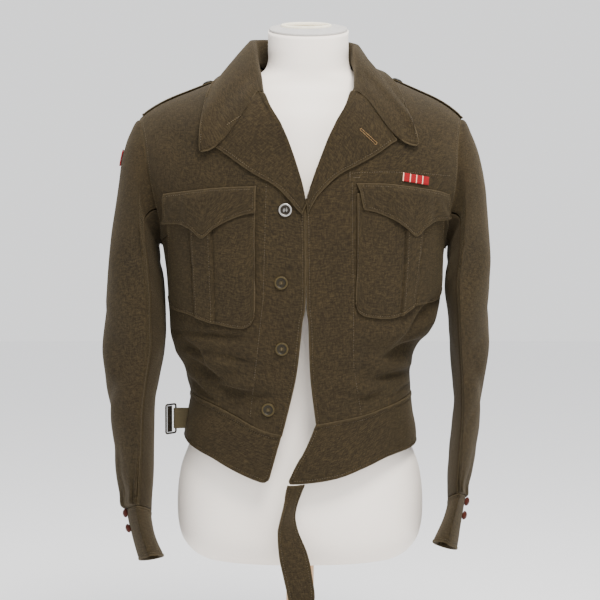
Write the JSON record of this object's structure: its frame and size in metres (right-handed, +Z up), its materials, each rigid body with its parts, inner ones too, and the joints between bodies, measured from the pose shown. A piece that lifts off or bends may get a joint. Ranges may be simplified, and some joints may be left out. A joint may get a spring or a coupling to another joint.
{
  "type": "battledress jacket on a dress form",
  "caption": "Short olive wool battledress jacket with pleated flap pockets, hanging open on a limbless white dress form with a pole and round base.",
  "frame": {"origin": "centre of the round base's underside", "axes": "+Z up along the pole, the jacket's front faces -Y, the wearer's right is -X"},
  "size_m": [0.5404, 0.3, 0.9439],
  "materials": {
    "olive_serge": "napped wool serge, matt",
    "form_calico": "plain woven cotton cover, matt",
    "cap_grey": "grained grey board, matt",
    "pole_wood": "varnished pine",
    "base_paint": "satin off-white paint",
    "button_brass": "darkened",
    "button_silver": "worn bright",
    "button_brown": "polished",
    "buckle_metal": "darkened",
    "khaki_tape": "woven tape, matt",
    "ribbon_red": "ribbed ribbon",
    "flash_red": "felted cloth"
  },
  "bodies": {
    "dressed_form": {"back": "olive_serge", "front_right": "olive_serge", "front_left": "olive_serge", "sleeve_top_right": "olive_serge", "sleeve_top_left": "olive_serge", "sleeve_under_right": "olive_serge", "sleeve_under_left": "olive_serge", "cuff_right": "olive_serge", "cuff_left": "olive_serge", "lapel_right": "olive_serge", "lapel_left": "olive_serge", "pocket_right": "olive_serge", "pocket_left": "olive_serge", "flap_right": "olive_serge", "flap_left": "olive_serge", "shoulder_strap_right": "olive_serge", "shoulder_strap_left": "olive_serge", "collar": "olive_serge", "waistband": "olive_serge", "waist_strap": "olive_serge", "form_torso": "form_calico", "form_neck_cap": "cap_grey", "stand_pole": "pole_wood", "stand_base": "base_paint", "front_button_2": "button_brass", "front_button_3": "button_brass", "front_button_4": "button_brass", "strap_button_right": "button_brass", "strap_button_left": "button_brass", "front_button_1": "button_silver", "cuff_button_right_1": "button_brown", "cuff_button_right_2": "button_brown", "cuff_button_left_1": "button_brown", "cuff_button_left_2": "button_brown", "buckle_tab": "khaki_tape", "ribbon_bar": "ribbon_red", "sleeve_flash_right": "flash_red"},
    "buckle": {"buckle_frame": "buckle_metal", "buckle_plate": "buckle_metal"}
  },
  "joints": [
    {"name": "buckle_swing", "type": "hinge", "parent": "dressed_form", "child": "buckle", "pos_m": [-0.173, -0.022, 0.3905], "axis": [0, 0, 1], "range_deg": [-30, 30]}
  ]
}
